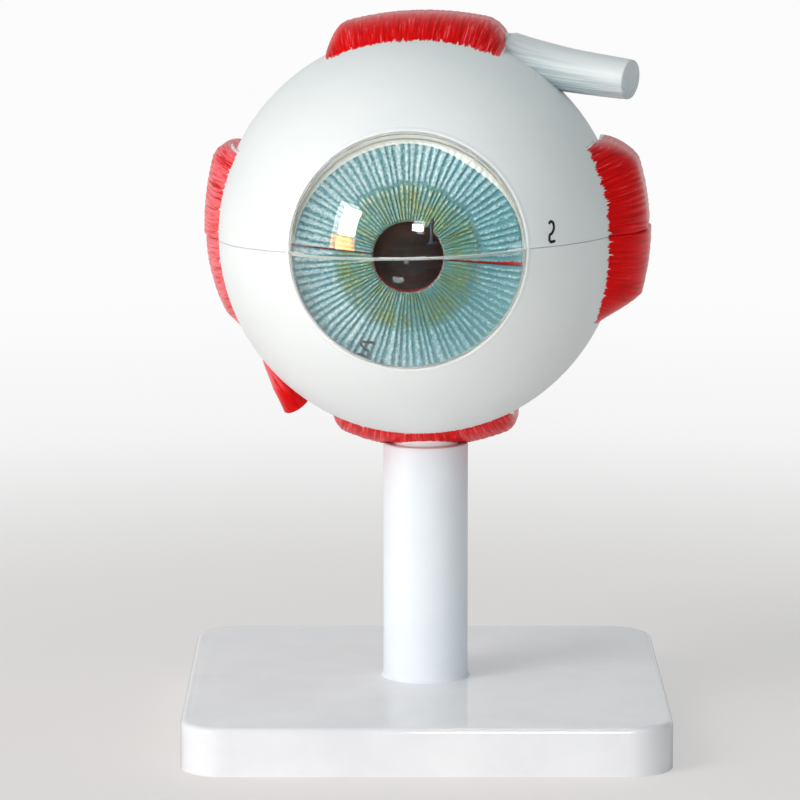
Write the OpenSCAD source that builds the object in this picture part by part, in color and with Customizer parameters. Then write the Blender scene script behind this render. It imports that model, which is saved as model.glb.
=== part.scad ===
// Classroom model of a right eye, about three times life size, that comes apart on a post and plate.
// All sizes are in millimetres. The origin is the centre of the plate's underside, +Z is up and
// the eye looks along -Y.

/* [Base plate] */
// Width of the square plate
base_w = 90; // [75:1:110]
// Thickness of the plate at its rim
base_t = 9; // [7:0.5:12]
// Radius of the plate's upright corners
base_corner_r = 8.5; // [4:0.5:14]
// Rounding along the plate's top edge
base_edge_r = 1.2; // [0.6:0.1:2]
// Wall and top skin of the hollow plate
base_wall = 2.2; // [1.6:0.1:3]

/* [Post] */
// Diameter of the post
post_d = 16; // [14:0.5:20]
// Height of the post's top rim above the table
post_top = 54; // [45:1:75]
// Height of the eyeball's lowest point above that rim
eye_above = 1.9; // [1.5:0.1:3]
// Flare of the post at its foot
foot_flare = 0.4; // [0.1:0.1:1]
// Height of that flare
foot_h = 1.2; // [0.5:0.1:3]
// Diameter of the spigot that seats in the plate
spigot_d = 12; // [9:0.5:13]
// Wall of the cup at the post's top
cup_wall = 1.5; // [1:0.1:2.5]
// Depth of that cup
cup_depth = 6; // [4:0.5:9]
// Diameter of the screw that holds the post
screw_d = 3; // [2.5:0.1:4]
// Diameter of the screw's head
screw_head_d = 6.4; // [5:0.1:8]
// Height of the screw's head
screw_head_h = 1.6; // [1:0.1:1.8]
// Length of the screw's shank
screw_l = 14; // [10:1:20]

/* [Swivel pin] */
// Diameter of the pin that the eye turns on
pin_d = 8; // [6:0.5:9]
// Depth of the pin in the post, below the cup
pin_in_post = 14; // [8:1:20]

/* [Eyeball] */
// Outer radius of the white shell
eye_r = 37.7; // [36:0.1:40]
// Wall of the white shell
sclera_wall = 2.2; // [2:0.1:2.8]
// Distance of the eye's centre to the left of the post
eye_left = 1.2; // [0:0.1:2]
// Turn of the eye to its right about the post, degrees
eye_yaw = 4.4; // [0:0.1:8]
// Upward lean of the gaze, degrees
eye_pitch = 1.2; // [0:0.1:3]
// Lean of the nasal side upwards, degrees
eye_roll = 1.4; // [0:0.1:3]
// Gap between the two halves of the shell
shell_seam = 0.1; // [0.05:0.01:0.2]
// Diameter of the locating pins in the shell's seam
dowel_d = 1; // [0.8:0.1:1.1]
// Length of each locating pin
dowel_l = 3.2; // [2:0.1:5]

/* [Cornea] */
// Radius of the cornea's rim
cornea_rim_r = 21.6; // [20:0.1:22.5]
// Outer radius of curvature of the clear dome
cornea_dome_r = 24.1; // [23.5:0.1:27]
// Wall of the clear dome
cornea_wall = 1.8; // [1:0.1:2]
// Depth of the seat that the rim stands in
cornea_seat = 1.3; // [1:0.1:1.6]
// Width of the ledge that the rim rests on
cornea_ledge = 0.8; // [0.5:0.1:1.1]

/* [Eye muscles] */
// Height of the straight muscles over the shell
muscle_t = 3.5; // [2.4:0.1:4]
// Extra height of the nasal muscle
nasal_extra = 2; // [0:0.1:2.5]
// Half the angle that a straight muscle spans round the eye, degrees
muscle_half = 26.5; // [20:0.5:30]
// Front edge of the upper and lower muscles, ahead of the eye's centre
vertical_front = 8.5; // [6:0.5:12]
// Front edge of the temporal muscle, ahead of the eye's centre
temporal_front = 6.5; // [6:0.5:12]
// Front edge of the nasal muscle, ahead of the eye's centre
nasal_front = 11; // [10:0.5:17]
// Length of the ramp behind a muscle's front edge
muscle_ramp = 13; // [9:0.5:16]
// Back end of the straight muscles, behind the eye's centre
muscle_back = 15; // [10:0.5:18]
// Radius of the upper oblique muscle's tendon at its cut end
tendon_r = 3.7; // [3:0.1:4.5]
// Radius of that tendon at its root
tendon_root_r = 4.9; // [4.5:0.1:6]
// Height of the tendon's cut end over the shell
tendon_out = 11.9; // [9:0.1:14]
// Radius of the lower oblique muscle at its cut end
oblique_r = 3; // [2.5:0.1:4.5]
// Height of the lower oblique's cut end over the shell
oblique_out = 2.5; // [1:0.1:4]

/* [Optic nerve] */
// Radius of the nerve
nerve_r = 4.2; // [3.5:0.1:5]
// Length of the nerve outside the shell
nerve_out = 6.8; // [5:0.1:14]
// Distance of the nerve from the line of sight, towards the nose
nerve_nasal = 10; // [8:0.5:13]
// Distance of the nerve below the seam
nerve_low = 5.8; // [5.5:0.1:8]
// Radius of each vessel in the nerve
vessel_r = 0.8; // [0.5:0.1:1.2]
// Length of each vessel, most of it inside the nerve
vessel_l = 4.8; // [3:0.1:5.5]
// How far the vessels stand out of the nerve's end
vessel_out = 0.8; // [0.2:0.1:1.5]

/* [Inner eye] */
// Least gap between the white shell and the inner ball
uvea_gap = 0.3; // [0.3:0.05:0.6]
// How far the inner ball sits below the shell's centre
uvea_drop = 0.7; // [0.3:0.05:0.8]
// Forward nod of the inner ball, degrees
uvea_pitch = 1.2; // [0:0.1:2]
// Turn of the inner ball about the line of sight, degrees
uvea_roll = 6; // [0:0.5:6.5]
// Wall of the inner ball
uvea_wall = 1.8; // [1.4:0.1:2.2]
// Gap between the inner ball's halves
uvea_seam = 0.1; // [0.05:0.01:0.2]
// Distance of the inner ball's flat front behind the cornea's rim
iris_depth = 4; // [3.6:0.1:4.6]
// Thickness of that flat front wall
front_wall = 1.2; // [1:0.1:1.6]

/* [Iris] */
// How much smaller in radius the iris is than the opening ahead of it
iris_gap = 0.2; // [0.1:0.1:1]
// Thickness of an iris plate at its rim
iris_t = 1.2; // [1:0.1:1.3]
// How far the iris bulges forward at the pupil
iris_bulge = 1.3; // [0.5:0.1:2]
// Radius of the pupil
pupil_r = 6.1; // [4:0.1:8]
// Bevel round an iris plate
iris_bevel = 0.4; // [0.2:0.1:0.6]

/* [Lens and vitreous body] */
// Radius of the lens
lens_r = 10; // [8.5:0.1:11]
// Front radius of curvature of the lens
lens_front_r = 16; // [14:0.5:20]
// Back radius of curvature of the lens
lens_back_r = 12; // [11.5:0.5:15]
// Thickness of the lens at its rim
lens_rim = 1.2; // [0.8:0.1:1.6]
// Distance of the lens rim's middle behind the inner ball's flat front
lens_depth = 4.7; // [4.5:0.1:5]
// Gap round a lifted-out piece
lift_gap = 0.3; // [0.25:0.05:0.5]
// Gap round the vitreous body
vitreous_gap = 0.5; // [0.4:0.05:0.7]
// Outer radius of the ciliary body
ciliary_r = 18.5; // [16:0.5:19.5]
// Length of the ciliary body from front to back
ciliary_l = 6.6; // [6.4:0.1:7.5]
// How far the ciliary lips reach over the lens rim
ciliary_lip = 1; // [0.6:0.1:1.4]

/* [Hidden] */
$fn = 96;

// Clearances
run_gap = 0.08;                                  // round a pin that turns or slides
glue_gap = 0.05;                                 // round a glued or pressed piece
slip_gap = 0.12;                                 // round the locating pins, where the upper half slides on
end_gap = 0.1;                                   // past the end of a pin or spigot
pin_end_gap = 0.3;                               // over the swivel pin's top
screw_gap = 0.3;                                 // round the screw in the plate
rim_gap = 0.4;                                   // between the lower muscle and the post's rim
window_gap = 1;                                  // round the lens in the inner ball's flat front

// Overlaps
cut = 1;                                         // a cutter's reach past the face that it cuts
sink = 0.2;                                      // how far the stem's top runs into the shell
strap_sink = 3;                                  // how far a muscle's front runs in before the shell cuts it
tendon_sink = 0.6;                               // how deep the middle of the tendon's root lies in the shell
reach = 3 * eye_r;                               // a cutter that takes all on one side of a plane

eye_z = post_top + eye_above + eye_r;            // height of the eye's centre
sclera_in = eye_r - sclera_wall;                 // inner radius of the white shell
rim_y = sqrt(pow(eye_r, 2) - pow(cornea_rim_r, 2)); // the cornea's rim plane, ahead of the eye's centre
seat_r = cornea_rim_r + 0.1;                     // radius of the cornea's seat
opening_r = seat_r - cornea_ledge;               // clear opening behind the cornea
dome_mid = rim_y - sqrt(pow(cornea_dome_r, 2) - pow(cornea_rim_r, 2)); // centre of the dome

cup_r = post_d / 2 - cup_wall;                   // inner radius of the cup in the post's top
cup_floor = post_top - cup_depth;                // where the eye rests
stem_r = cup_r - 0.1;                            // the eye's stem in that cup
stem_bore_top = eye_z - eye_r + sclera_wall / 2; // top of the pin's bore in the stem
boss_wall = 4;
boss_r = spigot_d / 2 + boss_wall;               // boss under the plate
boss_floor = 2;                                  // underside of that boss
boss_skin = 2;                                   // what the screw's head bears on
spigot_end = boss_floor + boss_skin;             // lower end of the spigot's bore

muscle_r = eye_r + muscle_t;                     // outer face of a straight muscle, about the line of sight
muscle_bevel = 1;                                // bevel along a straight muscle's back end
nerve_end = eye_r + nerve_out;                   // the nerve's cut end, behind the eye's centre
vessel_root = nerve_end + vessel_out - vessel_l; // where the vessels start in it

uvea_r = sclera_in - uvea_gap - uvea_drop;       // outer radius of the inner ball
uvea_in = uvea_r - uvea_wall;                    // inner radius of the inner ball
uvea_front = rim_y - iris_depth;                 // flat front of the inner ball, ahead of its centre
iris_r = opening_r - iris_gap;                   // radius of the iris plates
window_r = lens_r + window_gap;                  // opening in the inner ball's flat front
lens_at = uvea_front - lens_depth;               // middle of the lens rim, ahead of the ball's centre
lens_front = bulge(lens_front_r, 0);             // bulge of the lens ahead of its rim
lens_back = bulge(lens_back_r, 0);               // bulge of the lens behind its rim
lip_r = lens_r - ciliary_lip;                    // inner radius of the ciliary lip behind the lens
front_lip_r = lip_r + 0.6;                       // inner radius of the lip ahead of it
vitreous_r = uvea_in - vitreous_gap;
vitreous_front = lens_at - lens_rim / 2 - lens_back - vitreous_gap;      // flat front of the vitreous body

// How far a lens face of curvature bend stands out of its rim, at a distance r from the lens's middle
function bulge(bend, r) = sqrt(pow(bend, 2) - pow(r, 2)) - sqrt(pow(bend, 2) - pow(lens_r, 2));

// A place on the eye: degrees from the nose towards the top, degrees behind the middle, height over the shell
function on_eye(turn, back, out) =
    (eye_r + out) * [cos(back) * cos(turn), sin(back), cos(back) * sin(turn)];

tendon_root = on_eye(88.3 - muscle_half, 8.4, -tendon_sink);     // beside the upper muscle's nasal edge
tendon_end = on_eye(35.3, -6.5, tendon_out);
oblique_end = on_eye(233.1, 2.8, oblique_out);                   // the lower oblique's cut end
oblique_start = on_eye(218.4, 0.5, oblique_out / 3);             // front corner of its insertion
oblique_tail = on_eye(204, 24.9, oblique_out / 8);               // back corner of its insertion

// The eye's own frame: centre of the shell, gaze along -Y, seam in the XY plane
module in_eye() {
    translate([-eye_left, 0, eye_z])
        rotate([0, 0, -eye_yaw])
            rotate([-eye_pitch, 0, 0])
                rotate([0, -eye_roll, 0])
                    children();
}

// The inner ball's frame, a little lower in the shell and turned about the gaze
module in_uvea() {
    in_eye()
        translate([0, 0, -uvea_drop])
            rotate([uvea_pitch, 0, 0])
                rotate([0, uvea_roll, 0])
                    children();
}

module above(seam) {
    intersection() {
        children();
        translate([-reach, -reach, seam / 2]) cube([2 * reach, 2 * reach, reach]);
    }
}

module below(seam) {
    intersection() {
        children();
        translate([-reach, -reach, -reach - seam / 2]) cube([2 * reach, 2 * reach, reach]);
    }
}

// A solid of revolution about the line of sight, drawn with its Y axis pointing forward
module about_gaze() {
    rotate([90, 0, 0]) rotate_extrude() children();
}

// A round bar or cone between two points
module bar(from, to, r1, r2) {
    span = to - from;
    translate(from)
        rotate([0, acos(span[2] / norm(span)), atan2(span[1], span[0])])
            cylinder(h = norm(span), r1 = r1, r2 = r2);
}

// ---- Stand ----

module plate_outline(inset) {
    w = base_w - 2 * inset;
    r = base_corner_r - inset;
    square([w, w - 2 * r], center = true);
    square([w - 2 * r, w], center = true);
    for (x = [-1, 1], y = [-1, 1])
        translate([x * (w / 2 - r), y * (w / 2 - r)]) circle(r = r);
}

module base_plate() {
    steps = 4;
    color("#f4f4f6") difference() {
        union() {
            difference() {
                // the rounded top edge, in fine steps
                for (i = [0:steps]) {
                    a = 90 * i / steps;
                    linear_extrude(base_t - base_edge_r * (1 - cos(90 - a)))
                        plate_outline(base_edge_r * (1 - cos(a)));
                }
                translate([0, 0, -cut])
                    linear_extrude(base_t - base_wall + cut) plate_outline(base_wall);
            }
            translate([0, 0, boss_floor]) cylinder(h = base_t - base_wall / 2 - boss_floor, r = boss_r);
        }
        translate([0, 0, spigot_end]) cylinder(h = base_t, r = spigot_d / 2 + glue_gap);
        cylinder(h = base_t, r = screw_d / 2 + screw_gap);
    }
}

module post() {
    color("#f2f2f5") difference() {
        union() {
            translate([0, 0, spigot_end + end_gap]) cylinder(h = base_t, r = spigot_d / 2);
            translate([0, 0, base_t]) cylinder(h = post_top - base_t, r = post_d / 2);
            translate([0, 0, base_t]) cylinder(h = foot_h, r1 = post_d / 2 + foot_flare, r2 = post_d / 2);
        }
        translate([0, 0, cup_floor]) cylinder(h = cup_depth + cut, r = cup_r);
        translate([0, 0, cup_floor - pin_in_post]) cylinder(h = pin_in_post + cut, r = pin_d / 2 + run_gap);
        cylinder(h = boss_floor + screw_l + cut, r = screw_d / 2 + glue_gap);
    }
}

module post_screw() {
    color("#b9bcc0") {
        translate([0, 0, boss_floor - screw_head_h]) cylinder(h = screw_head_h, r = screw_head_d / 2);
        translate([0, 0, boss_floor - screw_head_h / 2]) cylinder(h = screw_l, r = screw_d / 2);
    }
}

module swivel_pin() {
    bottom = cup_floor - pin_in_post;
    color("#e9e9ec") translate([0, 0, bottom])
        cylinder(h = stem_bore_top - pin_end_gap - bottom, r = pin_d / 2);
}

// ---- White shell ----

// Places on the seam face for the locating pins
module at_dowels() {
    for (a = [-28, 35, 145, 208])
        rotate([0, 0, a]) translate([eye_r - sclera_wall / 2, 0, 0]) children();
}

module sclera_shell() {
    about_gaze() difference() {
        circle(r = eye_r);
        circle(r = sclera_in);
        translate([-2 * eye_r, -eye_r]) square(2 * eye_r);
        square([opening_r, eye_r + cut]);
        translate([0, rim_y - cornea_seat]) square([seat_r, eye_r]);
    }
}

module lower_sclera() {
    color("#f6f7f7") difference() {
        union() {
            in_eye() below(shell_seam) sclera_shell();
            // the stem that stands in the post's cup
            difference() {
                translate([0, 0, cup_floor]) cylinder(h = stem_bore_top - cup_floor, r = stem_r);
                in_eye() sphere(r = eye_r - sink);
            }
        }
        translate([0, 0, cup_floor - cut])
            cylinder(h = stem_bore_top - cup_floor + cut, r = pin_d / 2 + run_gap);
        in_eye() at_dowels() cylinder(h = dowel_l + 2 * end_gap, r = dowel_d / 2 + glue_gap, center = true);
    }
}

module upper_sclera() {
    color("#f6f7f7") in_eye() difference() {
        above(shell_seam) sclera_shell();
        at_dowels() cylinder(h = dowel_l + 4 * end_gap, r = dowel_d / 2 + slip_gap, center = true);
    }
}

module seam_dowels() {
    color("#e8e8e8") in_eye() at_dowels() cylinder(h = dowel_l, r = dowel_d / 2, center = true);
}

// ---- Cornea ----

module cornea_dome() {
    skirt_back = rim_y - cornea_seat;
    inner_rim = cornea_rim_r - cornea_wall;
    about_gaze() {
        // the dome
        intersection() {
            difference() {
                translate([0, dome_mid]) circle(r = cornea_dome_r);
                translate([0, dome_mid]) circle(r = cornea_dome_r - cornea_wall);
            }
            translate([0, rim_y]) square(cornea_dome_r);
        }
        // the upright rim that it stands on
        translate([inner_rim, skirt_back]) square([cornea_wall, cornea_seat]);
    }
}

module lower_cornea() {
    color("#dfe9ee", 0.35) in_eye() below(shell_seam) cornea_dome();
}

module upper_cornea() {
    color("#dfe9ee", 0.35) in_eye() above(shell_seam) cornea_dome();
}

// ---- Muscles ----

// A straight muscle: a strap that rises from the shell along a ramp and runs straight back.
// turn is its middle, in degrees from the nasal side towards the top.
module strap(turn, half, front, outer) {
    globe_r = sqrt(pow(eye_r, 2) - pow(front, 2));
    top = front - muscle_ramp;
    rotate([90, 0, 0]) rotate([0, 0, turn - half])
        difference() {
            rotate_extrude(angle = 2 * half) polygon([
                [globe_r - strap_sink, front - 0.01],
                [globe_r, front],
                [globe_r + 0.42 * (outer - globe_r), front - 0.27 * muscle_ramp],
                [globe_r + 0.8 * (outer - globe_r), front - 0.6 * muscle_ramp],
                [outer, top],
                [outer, muscle_bevel - muscle_back],
                [outer - muscle_bevel, -muscle_back],
                [eye_r + glue_gap, -muscle_back],
                [eye_r + glue_gap, 0],
                [globe_r - strap_sink, 0],
            ]);
            sphere(r = eye_r + glue_gap);
        }
}

module superior_rectus() {
    color("#e01216") in_eye() strap(90, muscle_half, vertical_front, muscle_r);
}

module inferior_rectus() {
    color("#e01216") difference() {
        in_eye() strap(270, muscle_half, vertical_front, muscle_r);
        // room for the post's rim and the stem in it
        translate([0, 0, cup_floor]) cylinder(h = cup_depth + rim_gap, r = post_d / 2 + rim_gap);
        translate([0, 0, cup_floor]) cylinder(h = eye_r, r = stem_r + glue_gap);
    }
}

module medial_rectus() {
    strap(0, muscle_half, nasal_front, muscle_r + nasal_extra);
}

module lateral_rectus() {
    strap(180, muscle_half, temporal_front, muscle_r);
}

module lower_medial_rectus() {
    color("#c00d12") in_eye() below(shell_seam) medial_rectus();
}

module upper_medial_rectus() {
    color("#c00d12") in_eye() above(shell_seam) medial_rectus();
}

module lower_lateral_rectus() {
    color("#f02b31") in_eye() below(shell_seam) lateral_rectus();
}

module upper_lateral_rectus() {
    color("#f02b31") in_eye() above(shell_seam) lateral_rectus();
}

module superior_oblique_tendon() {
    color("#d9dfe2") in_eye() difference() {
        bar(tendon_root, tendon_end, tendon_root_r, tendon_r);
        sphere(r = eye_r + glue_gap);
        // the tendon starts at the upper muscle's nasal edge
        rotate([0, muscle_half, 0])
            translate([-reach, -reach, 0]) cube([reach + glue_gap, 2 * reach, reach]);
    }
}

module inferior_oblique() {
    color("#e01216") in_eye() difference() {
        // it fans out from the round cut end to the line where it joins the shell
        hull() {
            bar(oblique_start, oblique_end, oblique_r / 4, oblique_r, $fn = 32);
            bar(oblique_tail, oblique_end, oblique_r / 2, oblique_r, $fn = 32);
        }
        sphere(r = eye_r + glue_gap, $fn = 200);
    }
}

// ---- Optic nerve ----

module at_nerve() {
    in_eye() translate([nerve_nasal, 0, -nerve_low]) rotate([-90, 0, 0]) children();
}

// The artery and the vein lie side by side in the nerve
module at_vessels() {
    for (x = [-1, 1]) translate([x * nerve_r * 0.36, 0, 0]) children();
}

module optic_nerve() {
    color("#f0e3c0") difference() {
        at_nerve() cylinder(h = nerve_end, r = nerve_r);
        in_eye() sphere(r = eye_r + glue_gap);
        at_nerve() translate([0, 0, vessel_root]) at_vessels()
            cylinder(h = vessel_l + cut, r = vessel_r + glue_gap);
    }
}

module central_vessels() {
    color("#b3202a") at_nerve() translate([0, 0, vessel_root]) at_vessels()
        cylinder(h = vessel_l, r = vessel_r);
}

// ---- Inner ball ----

module uvea_shell() {
    about_gaze() {
        difference() {
            circle(r = uvea_r);
            circle(r = uvea_in);
            translate([-2 * uvea_r, -uvea_r]) square(2 * uvea_r);
            translate([0, uvea_front]) square(uvea_r);
        }
        // flat wall behind the iris
        intersection() {
            circle(r = uvea_r);
            translate([window_r, uvea_front - front_wall]) square([uvea_r, front_wall]);
        }
    }
}

module lower_choroid() {
    color("#7c1b1c") in_uvea() below(uvea_seam) uvea_shell();
}

module upper_choroid() {
    color("#7c1b1c") in_uvea() above(uvea_seam) uvea_shell();
}

module iris_plate() {
    about_gaze() polygon([
        [pupil_r, uvea_front],
        [iris_r, uvea_front],
        [iris_r, uvea_front + iris_t - iris_bevel],
        [iris_r - iris_bevel, uvea_front + iris_t],
        [pupil_r, uvea_front + iris_t + iris_bulge],
    ]);
}

module lower_iris() {
    color("#6fa3ad") in_uvea() below(uvea_seam) iris_plate();
}

module upper_iris() {
    color("#6fa3ad") in_uvea() above(uvea_seam) iris_plate();
}

module ciliary_ring() {
    front = uvea_front - front_wall;
    groove_r = lens_r + lift_gap;
    groove_front = lens_at + lens_rim / 2 + lift_gap;
    groove_back = lens_at - lens_rim / 2 - lift_gap;
    taper = 1;
    ledge = 2.5;
    about_gaze() polygon([
        [front_lip_r, front],
        [ciliary_r, front],
        [ciliary_r - taper, front - 2 * taper],
        [groove_r + ledge, front - ciliary_l],
        [lip_r, front - ciliary_l],
        // the lips lie along the lens's faces
        [lip_r, groove_back - bulge(lens_back_r, lip_r)],
        [groove_r, groove_back],
        [groove_r, groove_front],
        [front_lip_r, groove_front + bulge(lens_front_r, front_lip_r)],
    ]);
}

module lower_ciliary_body() {
    color("#5b2a22") in_uvea() below(uvea_seam) ciliary_ring();
}

module upper_ciliary_body() {
    color("#5b2a22") in_uvea() above(uvea_seam) ciliary_ring();
}

module lens() {
    front_mid = lens_at + lens_rim / 2 + lens_front - lens_front_r;
    back_mid = lens_at - lens_rim / 2 - lens_back + lens_back_r;
    color("#e8eef0", 0.4) in_uvea() intersection() {
        translate([0, -front_mid, 0]) sphere(r = lens_front_r);
        translate([0, -back_mid, 0]) sphere(r = lens_back_r);
        rotate([90, 0, 0]) cylinder(h = lens_at + lens_front_r, r = lens_r);
    }
}

module vitreous_body() {
    color("#e6edf0", 0.3) in_uvea() about_gaze() difference() {
        circle(r = vitreous_r);
        translate([-2 * vitreous_r, -vitreous_r]) square(2 * vitreous_r);
        translate([0, vitreous_front]) square(vitreous_r);
    }
}

base_plate();
post();
post_screw();
swivel_pin();
lower_sclera();
lower_cornea();
seam_dowels();
inferior_rectus();
lower_medial_rectus();
lower_lateral_rectus();
inferior_oblique();
optic_nerve();
central_vessels();
lower_choroid();
lower_iris();
lower_ciliary_body();
vitreous_body();
lens();
upper_choroid();
upper_iris();
upper_ciliary_body();
upper_sclera();
upper_cornea();
superior_rectus();
upper_medial_rectus();
upper_lateral_rectus();
superior_oblique_tendon();
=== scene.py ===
import math
from functools import partial

import bmesh
import bpy
from mathutils import Euler, Matrix, Vector, noise


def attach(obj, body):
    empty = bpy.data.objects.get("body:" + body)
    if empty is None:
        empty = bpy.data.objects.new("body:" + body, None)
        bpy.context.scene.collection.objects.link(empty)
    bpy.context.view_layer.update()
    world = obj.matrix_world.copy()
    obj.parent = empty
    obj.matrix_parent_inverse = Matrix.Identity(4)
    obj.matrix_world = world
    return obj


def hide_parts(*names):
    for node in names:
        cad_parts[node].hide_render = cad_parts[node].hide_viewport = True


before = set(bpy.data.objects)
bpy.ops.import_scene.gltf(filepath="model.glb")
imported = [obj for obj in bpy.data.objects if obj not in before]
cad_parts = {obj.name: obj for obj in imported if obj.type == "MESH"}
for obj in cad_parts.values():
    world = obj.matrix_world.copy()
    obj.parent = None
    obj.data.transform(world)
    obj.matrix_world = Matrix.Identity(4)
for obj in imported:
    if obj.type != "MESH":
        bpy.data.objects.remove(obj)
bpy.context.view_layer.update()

# ---- Base plate ----
# A square plate of white ABS, moulded hollow in a polished tool, so its top is glossy.
# Its upright corners are rounded, its top edge is softened, and a boss beneath takes the post.

PLATE_W = 90                       # millimetres, as all sizes of pieces here
PLATE_T = 9
PLATE_CORNER_R = 8.5
PLATE_EDGE_R = 1.1
PLATE_WALL = 2.2
BOSS_R = 10
BOSS_LOW = 2
SCREW_HOLE_R = 1.8
WHITE_ABS = "#f4f4f6"
WHITE_ABS_DULL = "#ebebef"
TO_METRES = Matrix.Scale(0.001, 4)


def linear(colour):
    """The linear colour of an sRGB hex value."""
    channels = [int(colour[i:i + 2], 16) / 255 for i in (1, 3, 5)]
    return [c / 12.92 if c <= 0.04045 else ((c + 0.055) / 1.055) ** 2.4 for c in channels] + [1]


def add_node(owner, kind, inputs=(), stops=(), **settings):
    """Adds one node to a material or the world, with its settings and a ramp's stops. Each input, by name or
    number, takes a value, a socket, or a node, whose first output it then reads."""
    node = owner.node_tree.nodes.new("ShaderNode" + kind)
    for name, value in settings.items():
        setattr(node, name, value)
    for name, value in dict(inputs).items():
        if isinstance(value, bpy.types.Node):
            value = value.outputs[0]
        if isinstance(value, bpy.types.NodeSocket):
            owner.node_tree.links.new(value, node.inputs[name])
        else:
            node.inputs[name].default_value = value
    for number, (place, colour) in enumerate(stops):
        ramp = node.color_ramp.elements
        stop = ramp[number] if number < 2 else ramp.new(place)
        stop.position = place
        stop.color = linear(colour)
    return node


def new_material(name):
    """An empty material, and the function that adds a node to it."""
    material = bpy.data.materials.new(name)
    material.use_nodes = True
    material.node_tree.nodes.clear()
    return material, partial(add_node, material)


def mottled(name, scale, detail, low, high, shader_values):
    """A plain material whose tint wanders between two stops, in clouds or grains of 1 / scale metres."""
    material, add = new_material(name)
    here = add("TexCoord").outputs["Object"]
    clouds = add("TexNoise", {"Vector": here, "Scale": scale, "Detail": detail})
    tint = add("ValToRGB", {"Fac": clouds}, stops=[low, high])
    add("OutputMaterial", {"Surface": add("BsdfPrincipled", {"Base Color": tint, **shader_values})})
    return material


def lathe(outline, steps, degrees=360):
    """Turns an outline of (radius, height) about Z: a ring or a solid that closes on the axis, or a capped
    part turn."""
    bm = bmesh.new()
    points = [bm.verts.new((radius, 0, height)) for radius, height in outline]
    on_axis = outline[0][0] == 0 and outline[-1][0] == 0
    whole = abs(degrees) == 360
    if not whole:
        bm.faces.new(points)
    else:
        for a, b in zip(points, points[1:]):
            bm.edges.new((a, b))
        if not on_axis:
            bm.edges.new((points[-1], points[0]))
    bmesh.ops.spin(bm, geom=bm.verts[:] + bm.edges[:] + bm.faces[:], cent=(0, 0, 0), axis=(0, 0, 1),
                   dvec=(0, 0, 0), angle=math.radians(degrees), steps=steps, use_merge=whole)
    bmesh.ops.remove_doubles(bm, verts=bm.verts, dist=1e-4)
    bmesh.ops.recalc_face_normals(bm, faces=bm.faces)
    return bm


def join(bm, other):
    """Adds another bmesh's geometry to a bmesh, and frees the other."""
    mesh = bpy.data.meshes.new("joined")
    other.to_mesh(mesh)
    other.free()
    bm.from_mesh(mesh)
    bpy.data.meshes.remove(mesh)


def bevel_edges(bm, edges, width, segments):
    bmesh.ops.bevel(bm, geom=edges, offset=width, offset_type="OFFSET", affect="EDGES", segments=segments,
                    profile=0.5, material=-1, clamp_overlap=True)


def make_piece(name, bm, place, body, materials, stands_for=(), sharp=35):
    """Makes a piece of a bmesh in millimetres: smooth but for its sharp edges, in its place, on its body."""
    bm.transform(place)
    for face in bm.faces:
        face.smooth = True
    for edge in bm.edges:
        edge.smooth = edge.calc_face_angle(0) < math.radians(sharp)
    mesh = bpy.data.meshes.new(name)
    bm.to_mesh(mesh)
    bm.free()
    for material in materials:
        mesh.materials.append(material)
    piece = bpy.data.objects.new(name, mesh)
    bpy.context.scene.collection.objects.link(piece)
    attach(piece, body)
    if stands_for:
        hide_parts(*stands_for)
    return piece


# Injection-moulded ABS from a polished tool: white, glossy enough to mirror the post, with faint dull patches
# from handling and the slight waviness that a thick moulding has.
glossy_abs, add = new_material("white_abs_polished")
here = add("TexCoord").outputs["Object"]
patches = add("TexNoise", {"Vector": here, "Scale": 45, "Detail": 4, "Roughness": 0.6})
tint = add("ValToRGB", {"Fac": patches}, stops=[(0.35, WHITE_ABS_DULL), (0.65, WHITE_ABS)])
dullness = add("MapRange", {
    "Value": patches, "From Min": 0.3, "From Max": 0.7, "To Min": 0.1, "To Max": 0.05})
ripple = add("TexNoise", {"Vector": here, "Scale": 160, "Detail": 1})
wavy = add("Bump", {"Height": ripple, "Strength": 0.02, "Distance": 0.0003})
add("OutputMaterial", {"Surface": add("BsdfPrincipled", {
    "Base Color": tint, "Roughness": dullness, "Normal": wavy, "IOR": 1.53})})

plate = bmesh.new()
bmesh.ops.create_cube(plate, size=1)
bmesh.ops.scale(plate, verts=plate.verts, vec=(PLATE_W, PLATE_W, PLATE_T))
bmesh.ops.translate(plate, verts=plate.verts, vec=(0, 0, PLATE_T / 2))
upright = [e for e in plate.edges if abs(e.verts[0].co.z - e.verts[1].co.z) > 1]
bevel_edges(plate, upright, PLATE_CORNER_R, 16)
underside = [f for f in plate.faces if f.normal.z < -0.9]
bmesh.ops.inset_region(plate, faces=underside, thickness=PLATE_WALL, use_even_offset=True)
underside = [f for f in plate.faces if f.normal.z < -0.9 and f.calc_center_median().length < 1]
raised = bmesh.ops.extrude_discrete_faces(plate, faces=underside)["faces"]
bmesh.ops.translate(plate, verts=raised[0].verts, vec=(0, 0, PLATE_T - PLATE_WALL))
top_edge = [e for e in plate.edges if all(v.co.z > PLATE_T - 0.01 for v in e.verts)]
bevel_edges(plate, top_edge, PLATE_EDGE_R, 5)
boss = lathe([(SCREW_HOLE_R, BOSS_LOW), (BOSS_R, BOSS_LOW), (BOSS_R, PLATE_T - PLATE_WALL / 2),
              (SCREW_HOLE_R, PLATE_T - PLATE_WALL / 2)], 64)
join(plate, boss)
make_piece("base_plate_moulding", plate, TO_METRES, "stand", [glossy_abs], ["base_plate"])

# ---- Post ----
# A round post of the same white ABS, turned smooth, with a small fillet at its foot.
# Its top is an open cup that the eyeball's stem stands in.

POST_R = 8
POST_TOP = 54
TOP_EDGE = 0.3                     # the rounding of its rim
CUP_R = 6.5
CUP_FLOOR = 48
PIN_BORE_R = 4.08
FOOT_FLARE = 0.4
FOOT_H = 1.2

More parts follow.
